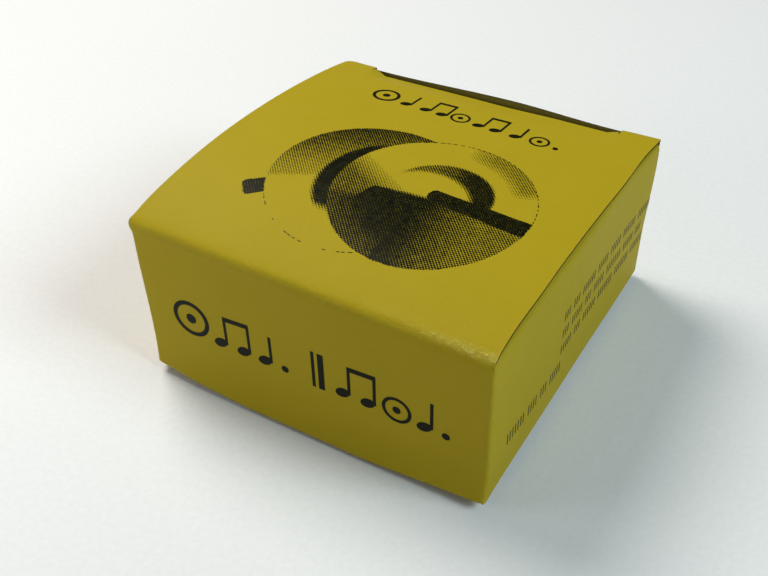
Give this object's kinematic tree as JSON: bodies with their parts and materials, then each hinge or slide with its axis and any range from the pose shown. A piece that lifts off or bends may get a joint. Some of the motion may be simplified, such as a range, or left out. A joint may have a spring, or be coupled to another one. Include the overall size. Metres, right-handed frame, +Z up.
{
  "type": "pair of finger cymbals in a carton",
  "caption": "Round brass finger cymbals with elastic finger loops, lying rim to rim in a closed, printed tuck-flap carton that bulges slightly over them.",
  "frame": {"origin": "centre of the carton's footprint, on the surface that it stands on", "axes": "+Z up; -Y is the front wall, which the lid is hinged on; +X is the right wall, which the bottom is tucked behind"},
  "size_m": [0.07, 0.0714, 0.0381],
  "materials": {
    "card": "mustard yellow printed card with a satin coating",
    "brass": "spun and lacquered",
    "elastic": "black woven elastic"
  },
  "bodies": {
    "carton": {"front_wall": "card", "right_wall": "card", "back_wall": "card", "left_wall": "card", "glue_flap": "card"},
    "lid": {"lid_panel": "card"},
    "lid_tuck": {"lid_tuck_flap": "card"},
    "top_dust_left": {"top_dust_flap_left": "card"},
    "top_dust_right": {"top_dust_flap_right": "card"},
    "bottom": {"bottom_panel": "card"},
    "bottom_tuck": {"bottom_tuck_flap": "card"},
    "bottom_dust_front": {"bottom_dust_flap_front": "card"},
    "bottom_dust_back": {"bottom_dust_flap_back": "card"},
    "upper_cymbal": {"upper_cymbal": "brass", "upper_strap_knot": "elastic"},
    "upper_loop": {"upper_finger_loop": "elastic"},
    "lower_cymbal": {"lower_cymbal": "brass", "lower_strap_knot": "elastic", "lower_finger_loop": "elastic"}
  },
  "joints": [
    {"name": "lid_hinge", "type": "hinge", "parent": "carton", "child": "lid", "pos_m": [0, -0.0353, 0.0324], "axis": [1, 0, 0], "range_deg": [0, 180]},
    {"name": "lid_tuck_hinge", "type": "hinge", "parent": "lid", "child": "lid_tuck", "pos_m": [0, 0.0345, 0.0313], "axis": [1, 0, 0], "range_deg": [0, 63]},
    {"name": "top_dust_hinge_left", "type": "hinge", "parent": "carton", "child": "top_dust_left", "pos_m": [-0.0346, 0, 0.0324], "axis": [0, -1, 0], "range_deg": [0, 108]},
    {"name": "top_dust_hinge_right", "type": "hinge", "parent": "carton", "child": "top_dust_right", "pos_m": [0.0346, 0, 0.0324], "axis": [0, 1, 0], "range_deg": [0, 108]},
    {"name": "bottom_hinge", "type": "hinge", "parent": "carton", "child": "bottom", "pos_m": [-0.0346, 0, 0.0018], "axis": [0, 1, 0], "range_deg": [0, 180]},
    {"name": "bottom_tuck_hinge", "type": "hinge", "parent": "bottom", "child": "bottom_tuck", "pos_m": [0.0338, 0, 0.0018], "axis": [0, 1, 0], "range_deg": [0, 63]},
    {"name": "bottom_dust_hinge_front", "type": "hinge", "parent": "carton", "child": "bottom_dust_front", "pos_m": [0, -0.0353, 0.0018], "axis": [-1, 0, 0], "range_deg": [0, 108]},
    {"name": "bottom_dust_hinge_back", "type": "hinge", "parent": "carton", "child": "bottom_dust_back", "pos_m": [0, 0.0353, 0.0018], "axis": [1, 0, 0], "range_deg": [0, 108]},
    {"name": "upper_cymbal_turn", "type": "hinge", "parent": "carton", "child": "upper_cymbal", "pos_m": [0, 0, 0.0179], "axis": [0, 0, 1], "continuous": true},
    {"name": "lower_cymbal_turn", "type": "hinge", "parent": "carton", "child": "lower_cymbal", "pos_m": [0, 0, 0.0176], "axis": [0, 0, 1], "continuous": true},
    {"name": "upper_loop_lift", "type": "hinge", "parent": "upper_cymbal", "child": "upper_loop", "pos_m": [0, 0, 0.0335], "axis": [1, 0, 0], "range_deg": [0, 10]}
  ],
  "couplings": [
    {"joint": "lid_tuck_hinge", "follows": "lid_hinge", "ratio": 0.35},
    {"joint": "top_dust_hinge_left", "follows": "lid_hinge", "ratio": 0.6},
    {"joint": "top_dust_hinge_right", "follows": "lid_hinge", "ratio": 0.6},
    {"joint": "bottom_tuck_hinge", "follows": "bottom_hinge", "ratio": 0.35},
    {"joint": "bottom_dust_hinge_front", "follows": "bottom_hinge", "ratio": 0.6},
    {"joint": "bottom_dust_hinge_back", "follows": "bottom_hinge", "ratio": 0.6}
  ]
}
